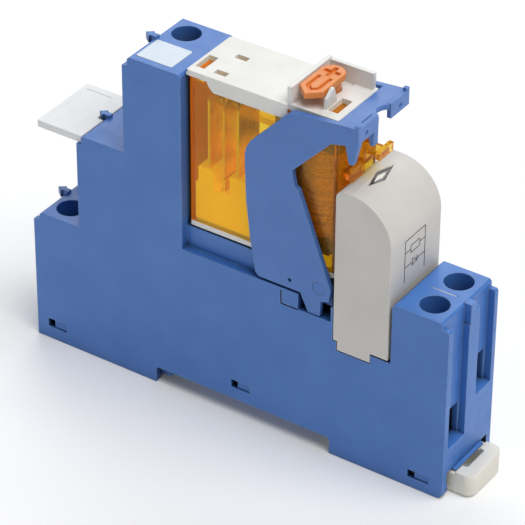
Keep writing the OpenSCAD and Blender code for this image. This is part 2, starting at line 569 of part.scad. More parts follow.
// foot of the moving blade, with its pin
module contact_foot() color("#d8b04a") place() {
    yz(38.65, 39.25) polygon([[3.1, 29.8], [5.3, 29.8], [5.3, 38.4], [9.8, 39.4], [9.8, 46.0], [3.6, 46.0],
        [3.6, 42], [3.1, 41.4]]);
}

// ---------- indicator module ----------
module case_outline(i = 0) {
    r = 8.12;           // rounding of the shoulder
    cx = 66.2;
    cz = module_z - r;
    zb = i > 0 ? 10 : 24.4;
    translate([63.4 + i, zb]) square([10.9 - 2 * i, cz - zb]);
    translate([63.4 + i, cz - 1]) square([cx - 63.4 - i, 7.6]);
    translate([64.9, cz]) square([cx - 64.9 + 0.1, r - i]);
    translate([64.9, module_z - 1.5]) circle(r = 1.5 - i, $fn = 32);
    intersection() {
        translate([cx, cz]) circle(r = r - i, $fn = 96);
        translate([cx, cz - 1]) square([20, 20]);
    }
}
module module_case() color("#c4c1bc") place() difference() {
    union() {
        xz(0.02, body_w - 0.02) case_outline(0);
        xz(0.02, body_w - 0.02) polygon([[64.2, 22.55], [70.8, 22.55], [70.8, 26], [64.2, 26]]);
    }
    xz(module_t, body_w - module_t) case_outline(module_t);
    // hole for the light window
    translate([67.0, mid, 50]) linear_extrude(10) polygon([[0, -3.85], [1.15, -0.5], [0.1, 4.0], [-1.15, 0.65]]);
    bx([64.3, module_t, 20], [70.7, body_w - module_t, 27]);
}
module module_window() color("#f4f4f0", 0.6) place() {
    translate([67.0, mid, 53.55]) linear_extrude(0.75) polygon([[0, -3.5], [1.0, -0.5], [0.1, 3.65], [-1.0, 0.62]]);
    rod(67.0, mid, 52.0, 52.9, 1.4, 32);
    rod(67.0, mid, 52.8, 53.7, 0.7, 24);
}
module module_board() color("#2f6b44") place() difference() {
    bx([66.4, 2.0, 26.6], [67.6, 13.8, 49.6]);
    bx([66, 6.9, 47.9], [68, 8.9, 50]);
}
module module_led() color("#d9f2d0", 0.8) place() {
    rod(67.0, mid, 48.0, 50.8, 0.98, 32);
    translate([67.0, mid, 50.8]) difference() {
        sphere(r = 0.98, $fn = 32);
        translate([0, 0, -2]) cube([4, 4, 4], center = true);
    }
}
module module_diode() color("#28282a") place() {
    translate([68.75, mid, 40.2]) {
        rotate([90, 0, 0]) translate([0, 0, -2.2]) cylinder(h = 4.4, r = 1.1, $fn = 32);
        rotate([90, 0, 0]) translate([0, 0, -3.6]) cylinder(h = 7.2, r = 0.3, $fn = 16);
    }
}
module module_resistor() color("#c8a878") place() {
    translate([68.75, mid, 34.2]) {
        rotate([90, 0, 0]) translate([0, 0, -2.6]) cylinder(h = 5.2, r = 1.0, $fn = 32);
        rotate([90, 0, 0]) translate([0, 0, -4.0]) cylinder(h = 8.0, r = 0.3, $fn = 16);
    }
}
module module_pins() color("#d0cdbf") place() {
    for (y = [[4.8, 6.4], [9.8, 11.0]]) bx([66.9, y[0], 18.4], [67.5, y[1], 26.55]);
}

socket_housing();
socket_base();
marker_label();
bus_com();
bus_nc();
bus_no();
bus_a1();
bus_a2();
screw_com();
screw_nc();
screw_no();
screw_a1();
screw_a2();
cage_com();
cage_nc();
cage_no();
cage_a1();
cage_a2();
rail_clip();
id_tag();
release_clip();
relay_base();
relay_cover();
relay_top();
relay_insulator();
coil_bobbin();
coil_winding();
coil_core();
coil_yoke();
coil_pins();
blade_no();
blade_nc();
blade_com();
contact_foot();
fixed_rivets();
moving_rivets();
armature();
armature_spring();
pusher();
flag();
test_button();
module_case();
module_board();
module_led();
module_window();
module_diode();
module_resistor();
module_pins();
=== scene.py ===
"""Plug-in relay with its rail socket, release clip and indicator module: finishes, fine pieces and studio."""

import logging
import math
from dataclasses import dataclass, field
from enum import Enum

import bmesh
import bpy
import numpy as np
from mathutils import Matrix, Vector


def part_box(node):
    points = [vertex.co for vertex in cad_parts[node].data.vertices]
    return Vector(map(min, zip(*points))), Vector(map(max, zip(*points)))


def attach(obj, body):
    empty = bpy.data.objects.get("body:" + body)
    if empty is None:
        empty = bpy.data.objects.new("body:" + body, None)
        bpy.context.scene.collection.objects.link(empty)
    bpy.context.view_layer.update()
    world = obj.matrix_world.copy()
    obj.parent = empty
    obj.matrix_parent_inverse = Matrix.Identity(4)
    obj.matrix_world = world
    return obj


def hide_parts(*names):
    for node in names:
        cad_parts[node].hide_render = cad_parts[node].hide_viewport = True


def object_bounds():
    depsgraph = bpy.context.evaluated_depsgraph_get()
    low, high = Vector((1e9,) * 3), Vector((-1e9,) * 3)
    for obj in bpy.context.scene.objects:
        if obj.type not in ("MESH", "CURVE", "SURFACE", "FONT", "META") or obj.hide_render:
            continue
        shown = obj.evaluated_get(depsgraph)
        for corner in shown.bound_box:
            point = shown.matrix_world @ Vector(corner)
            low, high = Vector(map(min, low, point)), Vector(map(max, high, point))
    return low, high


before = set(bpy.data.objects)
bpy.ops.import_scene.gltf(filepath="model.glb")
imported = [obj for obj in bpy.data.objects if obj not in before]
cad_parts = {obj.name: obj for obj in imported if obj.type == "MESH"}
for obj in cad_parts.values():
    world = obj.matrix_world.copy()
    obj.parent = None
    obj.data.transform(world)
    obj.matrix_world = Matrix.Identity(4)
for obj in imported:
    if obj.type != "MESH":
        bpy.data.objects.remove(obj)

CAD_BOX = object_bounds()
MM = 0.001
TAU = 2 * math.pi
LOG = logging.getLogger("relay")
# refractive index of polycarbonate
POLYCARBONATE_INDEX = 1.586


# ---------- colours and shader nodes ----------


def colour(code: str, alpha: float = 1.0) -> tuple[float, float, float, float]:
    """Turns an sRGB hex colour into the linear colour that a shader socket takes.

    Args:
        code: Six hex digits after a hash, such as "#3f68ad".
        alpha: Fourth component.

    Returns:
        Linear red, green and blue, and alpha.
    """
    parts = [int(code[i : i + 2], 16) / 255 for i in (1, 3, 5)]
    linear = [c / 12.92 if c <= 0.04045 else ((c + 0.055) / 1.055) ** 2.4 for c in parts]
    return (*linear, alpha)


def per_mm(size: float) -> float:
    """Texture scale that gives a pattern one feature every size millimetres."""
    return 1.0 / (size * MM)


def add(
    tree: bpy.types.NodeTree, kind: str, links: dict | None = None, sockets: dict | None = None, **settings
) -> bpy.types.ShaderNode:
    """Adds one shader node.

    Args:
        tree: Node tree that gets the node.
        kind: Node type, such as "ShaderNodeBump".
        links: Input socket, by name or number, to the output socket that feeds it.
        sockets: Input socket, by name or number, to its constant value.
        **settings: The node's own properties.

    Returns:
        The new node.
    """
    node = tree.nodes.new(kind)
    for key, value in settings.items():
        setattr(node, key, value)
    for key, value in (sockets or {}).items():
        node.inputs[key].default_value = value
    for key, source in (links or {}).items():
        tree.links.new(source, node.inputs[key])
    return node


def blank(name: str) -> tuple[bpy.types.Material, bpy.types.NodeTree]:
    """A new material of that name, with an empty node tree."""
    material = bpy.data.materials.new(name)
    material.use_nodes = True
    material.node_tree.nodes.clear()
    return material, material.node_tree


def noise(
    tree: bpy.types.NodeTree,
    size: float,
    stretch: tuple[float, float, float] = (1, 1, 1),
    detail: float = 2.0,
) -> bpy.types.NodeSocket:
    """Noise on Object coordinates.

    Args:
        tree: Node tree that gets the nodes.
        size: Size of one feature, mm.
        stretch: Factor on the coordinates along x, y and z; below 1 draws the pattern out.
        detail: Octaves of finer noise.

    Returns:
        The noise node's Fac output, about 0.25 to 0.75.
    """
    place = add(tree, "ShaderNodeTexCoord")
    turned = add(tree, "ShaderNodeMapping", {"Vector": place.outputs["Object"]}, {"Scale": stretch})
    return add(
        tree,
        "ShaderNodeTexNoise",
        {"Vector": turned.outputs["Vector"]},
        {"Scale": per_mm(size), "Detail": detail, "Roughness": 0.55},
    ).outputs["Fac"]


def ramp(tree: bpy.types.NodeTree, source, low: float, high: float, to_low: float, to_high: float):
    """Maps source from low..high to to_low..to_high, clamped. Returns the output socket."""
    sockets = {"From Min": low, "From Max": high, "To Min": to_low, "To Max": to_high}
    return add(tree, "ShaderNodeMapRange", {"Value": source}, sockets).outputs["Result"]


def blend(tree: bpy.types.NodeTree, share, first, second):
    """Mixes two colours, each a hex code or a socket, by the share socket. Returns the output socket."""
    node = add(tree, "ShaderNodeMix", {"Factor": share}, data_type="RGBA")
    for index, value in ((6, first), (7, second)):
        if isinstance(value, str):
            node.inputs[index].default_value = colour(value)
        else:
            tree.links.new(value, node.inputs[index])
    return node.outputs[2]


def rounded_edges(tree: bpy.types.NodeTree, radius: float):
    """Normals as if every edge had this radius, and a mask of those edges.

    The mask is 1 minus the cosine between the rounded and the true normal, scaled to 0..1.

    Args:
        tree: Node tree that gets the nodes.
        radius: Edge radius, mm.

    Returns:
        The normal socket and the mask socket.
    """
    eased = add(tree, "ShaderNodeBevel", sockets={"Radius": radius * MM}, samples=6)
    true = add(tree, "ShaderNodeNewGeometry")
    links = {0: eased.outputs["Normal"], 1: true.outputs["Normal"]}
    cosine = add(tree, "ShaderNodeVectorMath", links, operation="DOT_PRODUCT")
    mask = ramp(tree, cosine.outputs["Value"], 0.72, 0.985, 1.0, 0.0)
    return eased.outputs["Normal"], mask


# ---------- finishes ----------


@dataclass(frozen=True)
class Moulding:
    """Injection-moulded thermoplastic from a spark-eroded tool: fine even grain, satin gloss, edges lightened
    as a painted highlight and, if asked, painted shade in recesses.

    Attributes:
        name: What the material is.
        base: Colour of the plastic.
        flow: Colour of the slow mottling that the melt leaves.
        edge: Colour of the painted highlight on edges.
        roughness: Middle of the roughness.
        grain: Size of the tool's grain, mm.
        depth: Depth of that grain, mm.
        glow: Share of light that scatters inside.
        reach: How far that light goes, mm.
        coat: Gloss of a smooth skin.
        painted_glow: Share of its own colour that the surface gives off as a painted glow.
        recess_shade_reach: Reach, mm, within which near walls darken a surface as painted shade; 0 for none.
        round_edge: Radius that every edge seems to have, mm.
    """

    name: str
    base: str
    flow: str
    edge: str
    roughness: float = 0.42
    grain: float = 0.16
    depth: float = 0.006
    glow: float = 0.0
    reach: float = 1.0
    coat: float = 0.0
    painted_glow: float = 0.0
    recess_shade_reach: float = 0.0
    round_edge: float = 0.16

    def build(self) -> bpy.types.Material:
        """The finish as a Blender material."""
        material, tree = blank(self.name)
        normal, mask = rounded_edges(tree, self.round_edge)
        mottle = ramp(tree, noise(tree, 9.0, detail=3), 0.35, 0.68, 0.0, 1.0)
        skin = blend(tree, mottle, self.base, self.flow)
        # painted highlight on edges: the mask, broken up every 1.5 mm
        edge_highlight = add(
            tree,
            "ShaderNodeMath",
            {0: mask, 1: ramp(tree, noise(tree, 1.5), 0.3, 0.6, 0.25, 0.8)},
            operation="MULTIPLY",
        )
        skin = blend(tree, edge_highlight.outputs[0], skin, self.edge)
        # painted shade: where near walls hide the sky, the colour darkens towards a near-black navy
        if self.recess_shade_reach:
            open_sky = add(
                tree, "ShaderNodeAmbientOcclusion", sockets={"Distance": self.recess_shade_reach * MM}, samples=6
            ).outputs["AO"]
            skin = blend(tree, ramp(tree, open_sky, 0.14, 0.56, 0.0, 1.0), "#0a0f1c", skin)
        grain = noise(tree, self.grain, detail=1)
        bump = add(
            tree,
            "ShaderNodeBump",
            {"Height": grain, "Normal": normal},
            {"Strength": 0.6, "Distance": self.depth * MM},
        )
        gloss = ramp(tree, noise(tree, 2.6, detail=3), 0.3, 0.7, self.roughness - 0.06, self.roughness + 0.07)
        shader = add(
            tree,
            "ShaderNodeBsdfPrincipled",
            {
                "Base Color": skin,
                "Roughness": gloss,
                "Normal": bump.outputs["Normal"],
                "Emission Color": skin,
            },
            {
                # painted glow: the surface gives off part of its own colour, as if lit from within
                "Emission Strength": self.painted_glow,
                "IOR": 1.5,
                "Subsurface Weight": self.glow,
                "Subsurface Radius": (1.0, 0.8, 0.6),
                "Subsurface Scale": self.reach * MM,
                "Coat Weight": self.coat,
                "Coat Roughness": 0.12,
            },
        )
        add(tree, "ShaderNodeOutputMaterial", {"Surface": shader.outputs[0]})
        return material


@dataclass(frozen=True)
class ClearMoulding:
    """Tinted clear thermoplastic, polished in the tool: light bends in its walls, and thick stretches darken.

    Attributes:
        name: What the material is.
        surface: Tint that each surface gives.
        body: Tint that light keeps after depth millimetres inside.
        depth: Millimetres that the body tint is meant for.
        lamp: Tint of the light that lamps send through.
        roughness: Polish.
        wave: Depth of the slow waviness of a moulded pane, mm.
        haze: Share of the light that the dye scatters back.
        haze_tint: Colour of that share.
        glow: Share that turns diffuse beyond the panes, as a painted glow: at the low end, at the high end and
            over the top.
        panes: Object coordinates of the panes' low end and high end along x and of their top along z, mm.
        rim_glow_tint: Colour of the painted glow on the rims.
        mirror: Tint of the reflections.
    """

    name: str
    surface: str
    body: str
    depth: float
    lamp: str
    roughness: float = 0.03
    wave: float = 0.02
    haze: float = 0.04
    haze_tint: str = "#f4f6f6"
    glow: tuple[float, float, float] = (0.04, 0.04, 0.04)
    panes: tuple[float, float, float] = (-1000.0, 1000.0, 1000.0)
    rim_glow_tint: str = "#f4f6f6"
    mirror: str = "#ffffff"

    def build(self) -> bpy.types.Material:
        """The finish as a Blender material."""
        material, tree = blank(self.name)
        flow = noise(tree, 5.0, stretch=(1, 1, 0.4), detail=2)
        bump = add(tree, "ShaderNodeBump", {"Height": flow}, {"Strength": 0.35, "Distance": self.wave * MM})
        gloss = ramp(tree, noise(tree, 1.2, detail=3), 0.35, 0.7, self.roughness, self.roughness + 0.05)
        tint = ramp(tree, noise(tree, 7.0), 0.3, 0.7, 0.0, 0.35)
        glass = add(
            tree,
            "ShaderNodeBsdfPrincipled",
            {
                "Base Color": blend(tree, tint, self.surface, "#fffaf0"),
                "Roughness": gloss,
                "Normal": bump.outputs["Normal"],
            },
            {"IOR": POLYCARBONATE_INDEX, "Transmission Weight": 1.0, "Specular Tint": colour(self.mirror)},
        )
        # painted glow: beyond the panes' low end, high end and top the surface turns mostly diffuse and orange,
        # standing in for light carried along the walls; elsewhere the even haze is the dye's own scatter
        place = add(tree, "ShaderNodeSeparateXYZ", {0: add(tree, "ShaderNodeTexCoord").outputs["Object"]})
        low, high, top = (edge * MM for edge in self.panes)
        fade = 0.05 * MM
        ends = [
            ramp(tree, place.outputs[0], low - fade, low + fade, self.glow[0], self.haze),
            ramp(tree, place.outputs[0], high - fade, high + fade, self.haze, self.glow[1]),
            ramp(tree, place.outputs[2], top - fade, top + fade, self.haze, self.glow[2]),
        ]
        share = ends[0]
        for end in ends[1:]:
            share = add(tree, "ShaderNodeMath", {0: share, 1: end}, operation="MAXIMUM").outputs[0]
        rim = ramp(tree, share, self.haze + 0.01, max(self.glow) + 0.02, 0.0, 1.0)
        cloud = blend(tree, ramp(tree, noise(tree, 7.0), 0.3, 0.7, 0.0, 0.12), self.haze_tint, self.surface)
        cloud = blend(tree, rim, cloud, self.rim_glow_tint)
        scatter = add(tree, "ShaderNodeBsdfDiffuse", {"Color": cloud})
        dyed = add(tree, "ShaderNodeMixShader", {0: share, 1: glass.outputs[0], 2: scatter.outputs[0]})
        lamps = add(tree, "ShaderNodeBsdfTransparent", sockets={"Color": colour(self.lamp)})
        path = add(tree, "ShaderNodeLightPath")
        ways = add(
            tree,
            "ShaderNodeMath",
            {0: path.outputs["Is Shadow Ray"], 1: path.outputs["Is Diffuse Ray"]},
            operation="MAXIMUM",
        )
        mix = add(tree, "ShaderNodeMixShader", {0: ways.outputs[0], 1: dyed.outputs[0], 2: lamps.outputs[0]})
        body = add(
            tree,
            "ShaderNodeVolumeAbsorption",
            sockets={"Color": colour(self.body), "Density": 1.0 / (self.depth * MM)},
        )
        add(
            tree,
            "ShaderNodeOutputMaterial",
            {"Surface": mix.outputs[0], "Volume": body.outputs[0]},
        )
        return material


@dataclass(frozen=True)
class Metal:
    """Cut, stamped or plated metal: fine lines from the tool or a crystalline plating, and brighter edges.

    Attributes:
        name: What the metal is.
        base: Colour where it is clean.
        stain: Colour of the duller patches.
        roughness: Middle of the roughness.
        lines: Spacing of the tool lines, mm.
        along: Axis that the lines follow.
        patch: Size of the duller patches, mm.
        sheared_highlight: Colour of the rough faces across y that the press leaves, painted paler as a
            highlight; empty for none.
    """

    name: str
    base: str
    stain: str
    roughness: float = 0.3
    lines: float = 0.12
    along: str = "z"
    patch: float = 2.0
    sheared_highlight: str = ""

    def build(self) -> bpy.types.Material:
        """The finish as a Blender material."""
        material, tree = blank(self.name)
        normal, mask = rounded_edges(tree, 0.08)
        stretch = tuple(0.06 if axis == self.along else 1.0 for axis in "xyz")
        streaks = noise(tree, self.lines, stretch=stretch, detail=2)
        dull = ramp(tree, noise(tree, self.patch, detail=4), 0.42, 0.7, 0.0, 1.0)
        skin = blend(tree, mask, blend(tree, dull, self.base, self.stain), self.base)
        bump = add(
            tree,
            "ShaderNodeBump",
            {"Height": streaks, "Normal": normal},
            {"Strength": 0.5, "Distance": 0.004 * MM},
        )
        gloss = ramp(tree, streaks, 0.3, 0.7, self.roughness - 0.08, self.roughness + 0.1)
        links = {"Base Color": skin, "Roughness": gloss, "Normal": bump.outputs["Normal"]}
        sockets = {"Metallic": 1.0}
        # sheared faces across y: less metallic, as the press leaves them, and painted pale yellow as a
        # highlight
        if self.sheared_highlight:
            normals = add(tree, "ShaderNodeTexCoord").outputs["Normal"]
            facing = add(tree, "ShaderNodeSeparateXYZ", {0: normals})
            across = add(tree, "ShaderNodeMath", {0: facing.outputs[1]}, operation="ABSOLUTE").outputs[0]
            links["Base Color"] = blend(tree, ramp(tree, across, 0.6, 0.9, 0.0, 1.0), skin, self.sheared_highlight)
            links["Metallic"] = ramp(tree, across, 0.6, 0.9, 1.0, 0.15)
            sockets = {}
        shader = add(tree, "ShaderNodeBsdfPrincipled", links, sockets)
        add(tree, "ShaderNodeOutputMaterial", {"Surface": shader.outputs[0]})
        return material


@dataclass(frozen=True)
class EnamelledWire:
    """Copper wire under amber enamel: glossy, with a tone that changes from turn to turn.

    Attributes:
        name: What the material is.
        base: Colour of the enamelled copper.
        deep: Colour of the darker turns.
        turn: Height of one turn, mm.
    """

    name: str = "enamelled_copper_wire"
    base: str = "#f29c42"
    deep: str = "#b4601f"
    turn: float = 0.42

    def build(self) -> bpy.types.Material:
        """The finish as a Blender material."""
        material, tree = blank(self.name)
        tone = noise(tree, self.turn * 1.2, stretch=(0.02, 0.02, 1.0), detail=3)
        skin = blend(tree, ramp(tree, tone, 0.35, 0.65, 0.0, 1.0), self.base, self.deep)
        gloss = ramp(tree, noise(tree, 0.8), 0.3, 0.7, 0.22, 0.36)
        shader = add(
            tree,
            "ShaderNodeBsdfPrincipled",
            {"Base Color": skin, "Roughness": gloss},
            {"Metallic": 0.35, "Coat Weight": 0.4, "Coat Roughness": 0.1, "Coat IOR": 1.55},
        )
        add(tree, "ShaderNodeOutputMaterial", {"Surface": shader.outputs[0]})
        return material


@dataclass(frozen=True)
class CircuitBoard:
    """Glass-epoxy board under green solder resist, through which the weave of its cloth shows faintly.

    Attributes:
        name: What the material is.
        base: Colour of the solder resist.
        weave: Colour over the cloth's threads.
        thread: Spacing of the threads, mm.
    """

    name: str = "glass_epoxy_board"
    base: str = "#1f5c3a"
    weave: str = "#2f7a4c"
    thread: float = 0.5

    def build(self) -> bpy.types.Material:
        """The finish as a Blender material."""
        material, tree = blank(self.name)
        place = add(tree, "ShaderNodeTexCoord").outputs["Object"]
        sockets = {"Scale": per_mm(self.thread) / TAU, "Distortion": 0.6, "Detail": 1.0}
        waves = [
            add(tree, "ShaderNodeTexWave", {"Vector": place}, sockets, bands_direction=axis).outputs["Fac"]
            for axis in ("Y", "Z")
        ]
        cloth = add(tree, "ShaderNodeMath", {0: waves[0], 1: waves[1]}, operation="MULTIPLY").outputs[0]
        bump = add(tree, "ShaderNodeBump", {"Height": cloth}, {"Strength": 0.4, "Distance": 0.01 * MM})
        shader = add(
            tree,
            "ShaderNodeBsdfPrincipled",
            {
                "Base Color": blend(tree, cloth, self.base, self.weave),
                "Roughness": ramp(tree, cloth, 0.0, 1.0, 0.32, 0.22),
                "Normal": bump.outputs["Normal"],
            },
            {"IOR": 1.52, "Coat Weight": 0.4},
        )
        add(tree, "ShaderNodeOutputMaterial", {"Surface": shader.outputs[0]})
        return material


@dataclass(frozen=True)
class LightPipe:
    """Clear light guide seen in its hole: bright and milky in the middle, with painted shade making it dark
    where its rim meets the case.

    The distance |x| / half width + |y| / half length from the window's middle is 1 on its outline.

    Attributes:
        name: What the material is.
        bright: Colour of the middle.
        rim: Colour of the painted shade at the rim.
        middle: Object coordinates of the middle, mm.
        half: Half width and half length, mm.
    """

    name: str = "polycarbonate_light_pipe"
    bright: str = "#f7f9fb"
    rim: str = "#34373b"
    middle: tuple[float, float] = (22.9, 0.0)
    half: tuple[float, float] = (1.0, 3.6)

    def build(self) -> bpy.types.Material:
        """The finish as a Blender material."""
        material, tree = blank(self.name)
        place = add(tree, "ShaderNodeSeparateXYZ", {0: add(tree, "ShaderNodeTexCoord").outputs["Object"]})
        spans = []
        for axis in (0, 1):
            away = add(
                tree,
                "ShaderNodeMath",
                {0: place.outputs[axis]},
                {1: self.middle[axis] * MM},
                operation="SUBTRACT",
            )
            size = add(tree, "ShaderNodeMath", {0: away.outputs[0]}, operation="ABSOLUTE")
            share = add(
                tree, "ShaderNodeMath", {0: size.outputs[0]}, {1: self.half[axis] * MM}, operation="DIVIDE"
            )
            spans.append(share.outputs[0])
        reach = add(tree, "ShaderNodeMath", {0: spans[0], 1: spans[1]}, operation="ADD").outputs[0]
        uneven = ramp(tree, noise(tree, 0.7), 0.3, 0.7, -0.08, 0.08)
        edge = add(tree, "ShaderNodeMath", {0: reach, 1: uneven}, operation="ADD").outputs[0]
        # painted shade: the colour darkens towards the outline, where the pipe meets the case
        shader = add(
            tree,
            "ShaderNodeBsdfPrincipled",
            {
                "Base Color": blend(tree, ramp(tree, edge, 0.42, 0.62, 0.0, 1.0), self.bright, self.rim),
                "Roughness": ramp(tree, noise(tree, 0.3), 0.3, 0.7, 0.12, 0.22),
            },
            {"IOR": POLYCARBONATE_INDEX, "Transmission Weight": 0.15},
        )
        add(tree, "ShaderNodeOutputMaterial", {"Surface": shader.outputs[0]})
        return material


class Finishes(Enum):
    """Every finish on the relay, named for what it is."""

    # glass-filled polyamide 66 of the socket: mid blue, satin, with a painted highlight on its edges and
    # painted shade in its recesses
    SOCKET_BLUE = Moulding(
        "polyamide_socket_blue",
        "#4176c3",
        "#487dc9",
        "#a6c8ee",
        0.42,
        0.20,
        0.008,
        coat=0.06,
        recess_shade_reach=5.0,
        round_edge=0.3,
    )
    # the clip is the same plastic from a smoother tool, so it shines a little more
    CLIP_BLUE = Moulding(
        "polyamide_clip_blue", "#4978c3", "#4e7ec9", "#a2c4ea", 0.40, 0.15, 0.004, coat=0.08, round_edge=0.28
    )
    # PBT of the relay's top plate and base: a clean white with soft, slightly warm shade
    RELAY_WHITE = Moulding("pbt_relay_white", "#f1f0ec", "#e9e8e3", "#fbfbf8", 0.45, 0.14, 0.004, 0.08, 0.8)
    # PBT of the contact carrier: light yellow, so that the amber cover turns it bright; it also gives off a
    # painted glow of its own colour
    CARRIER_YELLOW = Moulding(
        "pbt_carrier_yellow", "#fdd835", "#f8cd2c", "#fde26a", 0.40, 0.14, 0.004, 0.12, 0.8, painted_glow=0.32
    )
    # unfilled polyamide of the button: saturated orange with a waxy depth
    BUTTON_ORANGE = Moulding(
        "polyamide_button_orange", "#ea8c40", "#e68539", "#f6b078", 0.36, 0.12, 0.003, 0.15, 0.8
    )
    # polycarbonate blend of the module: warm light grey, matt from a coarser tool
    MODULE_GREY = Moulding("abs_module_grey", "#dcd8d2", "#d6d2cc", "#eceae6", 0.50, 0.24, 0.012, 0.03, 0.6)
    # natural polyamide of the rail clip: milky off-white that light gets into
    NATURAL_NYLON = Moulding(
        "polyamide_natural", "#e9e6dc", "#e0dccf", "#f6f4ec", 0.42, 0.22, 0.006, 0.35, 1.6
    )
    # printed-on white of tags and labels: flat, almost no grain
    TAG_WHITE = Moulding(
        "polycarbonate_tag_white", "#eef0ef", "#e6e9ea", "#fafbfb", 0.48, 0.12, 0.002, 0.1, 0.6
    )
    LABEL_PALE = Moulding(
        "polycarbonate_label_pale", "#dfeaf5", "#d6e4f2", "#f2f7fb", 0.46, 0.12, 0.002, 0.06, 0.5
    )
    # black glass-filled PET of the bobbin
    BOBBIN_BLACK = Moulding("pet_bobbin_black", "#1d1b1a", "#262321", "#4a4642", 0.38, 0.16, 0.006)
    PRINT_DARK = Moulding("printing_ink_dark", "#3d3a3a", "#464343", "#5a5757", 0.55, 0.10, 0.002)
    DIODE_BLACK = Moulding("epoxy_diode_black", "#17171a", "#202024", "#3a3a40", 0.30, 0.10, 0.003)
    RESISTOR_TAN = Moulding(
        "lacquer_resistor_tan", "#cdb08a", "#c3a47c", "#e0c9a6", 0.30, 0.10, 0.003, coat=0.3
    )
    FLAG_ORANGE = Moulding("acetal_flag_orange", "#d8602c", "#cf5826", "#ee8a58", 0.40, 0.12, 0.003)
    # polycarbonate of the cover, dyed amber: bright through one wall, deep orange along it; its low end, high
    # end and top carry a painted orange glow
    AMBER_CLEAR = ClearMoulding(
        "polycarbonate_amber",
        "#fffbe0",
        "#fdf244",
        0.625,
        "#fffbe6",
        haze=0.09,
        haze_tint="#f5a81c",
        glow=(0.85, 0.26, 0.32),
        panes=(-10.42, 18.3, 61.25),
        rim_glow_tint="#ee7a1c",
        mirror="#ffcf80",
    )
    LIGHT_PIPE = LightPipe()
    EPOXY_CLEAR = ClearMoulding("epoxy_led_clear", "#ecf6ea", "#d8ecd4", 4.0, "#eef6ec", 0.04)
    # bronze spring strip, rolled then stamped: warm yellow, lines along the strip; its sheared faces across y
    # are duller and painted paler as a highlight
    BRONZE_STRIP = Metal("phosphor_bronze_strip", "#f6c866", "#d7a448", 0.30, 0.10, "z", 2.4, "#fff0a0")
    BRASS_BAR = Metal("brass_bar", "#c99a58", "#a87a3e", 0.34, 0.14, "x", 3.0)
    # zinc-plated steel with a yellow passivation
    ZINC_STEEL = Metal("zinc_plated_steel", "#c9c6b8", "#a8a694", 0.34, 0.10, "y", 1.2)
    BRIGHT_STEEL = Metal("bright_zinc_steel", "#c3c7ca", "#9ca1a5", 0.30, 0.12, "z", 1.6)
    SOFT_IRON = Metal("nickel_plated_iron", "#9a9c9e", "#7c7e80", 0.36, 0.14, "z", 2.2)
    TINNED = Metal("tinned_copper", "#d3d1c6", "#b2b0a4", 0.38, 0.16, "z", 1.4)
    SILVER = Metal("silver_cadmium_free", "#e4e4e2", "#c2c0ba", 0.24, 0.10, "y", 0.9)
    COPPER_WIRE = EnamelledWire()
    BOARD = CircuitBoard()

    def material(self) -> bpy.types.Material:
        """The finish's material, made the first time that it is asked for."""
        return bpy.data.materials.get(self.value.name) or self.value.build()


# ---------- surfaces ----------


def piece(name: str, vertices: np.ndarray, quads: np.ndarray, smooth: bool = True) -> bpy.types.Object:
    """Makes an object from vertices in metres and quads; merging what coincides closes its seams and poles.

    Args:
        name: Piece name.
        vertices: Points, shape (n, 3).
        quads: Vertex numbers, shape (m, 4).
        smooth: Whether the faces shade smoothly.

    Returns:
        The object, at the origin.
    """
    mesh = bpy.data.meshes.new(name)
    mesh.vertices.add(len(vertices))
    mesh.vertices.foreach_set("co", np.ascontiguousarray(vertices, np.float32).ravel())
    mesh.loops.add(quads.size)
    mesh.loops.foreach_set("vertex_index", np.ascontiguousarray(quads, np.int32).ravel())
    mesh.polygons.add(len(quads))
    mesh.polygons.foreach_set("loop_start", np.arange(0, quads.size, 4, dtype=np.int32))
    mesh.update(calc_edges=True)
    work = bmesh.new()
    work.from_mesh(mesh)
    bmesh.ops.remove_doubles(work, verts=work.verts, dist=1e-7)
    bmesh.ops.dissolve_degenerate(work, edges=work.edges, dist=1e-8)
    bmesh.ops.recalc_face_normals(work, faces=work.faces)
    work.to_mesh(mesh)
    work.free()
    mesh.polygons.foreach_set("use_smooth", np.full(len(mesh.polygons), smooth))
    shown = bpy.data.objects.new(name, mesh)
    bpy.context.scene.collection.objects.link(shown)
    return shown


def grid(points: np.ndarray) -> tuple[np.ndarray, np.ndarray]:
    """Vertices and quads of a surface given as a grid of points.

    Args:
        points: Shape (u, v, 3). Its second direction closes on itself if the last column repeats the first.

    Returns:
        Vertices (n, 3) and quads (m, 4).
    """
    rows, columns = points.shape[:2]
    index = np.arange(rows * columns).reshape(rows, columns)
    corners = (index[:-1, :-1], index[:-1, 1:], index[1:, 1:], index[1:, :-1])
    return points.reshape(-1, 3), np.stack(corners, axis=-1).reshape(-1, 4)


def join(parts: list[tuple[np.ndarray, np.ndarray]]) -> tuple[np.ndarray, np.ndarray]:
    """Several vertex and quad arrays as one pair."""
    starts = np.cumsum([0] + [len(v) for v, _ in parts[:-1]])
    vertices = np.concatenate([v for v, _ in parts])
    return vertices, np.concatenate([q + start for start, (_, q) in zip(starts, parts)])


def lathe(profile: np.ndarray, centre: np.ndarray, axis: int, steps: int) -> tuple[np.ndarray, np.ndarray]:
    """Turns a profile about an axis: the point at turn t is centre + height·axis + radius·(cos t, sin t).

    Args:
        profile: Rows of (radius, height), mm, that start and end at radius 0.
        centre: Point on the axis, metres.
        axis: 0, 1 or 2 for x, y or z.
        steps: Points round the turn.

    Returns:
        Vertices and quads.
    """
    turn = np.linspace(0, TAU, steps + 1)
    turn[-1] = 0.0
    radius, height = profile[:, :1] * MM, profile[:, 1:] * MM
    local = np.zeros((len(profile), steps + 1, 3))
    local[..., (axis + 1) % 3] = radius * np.cos(turn)
    local[..., (axis + 2) % 3] = radius * np.sin(turn)
    local[..., axis] = height
    return grid(local + centre)


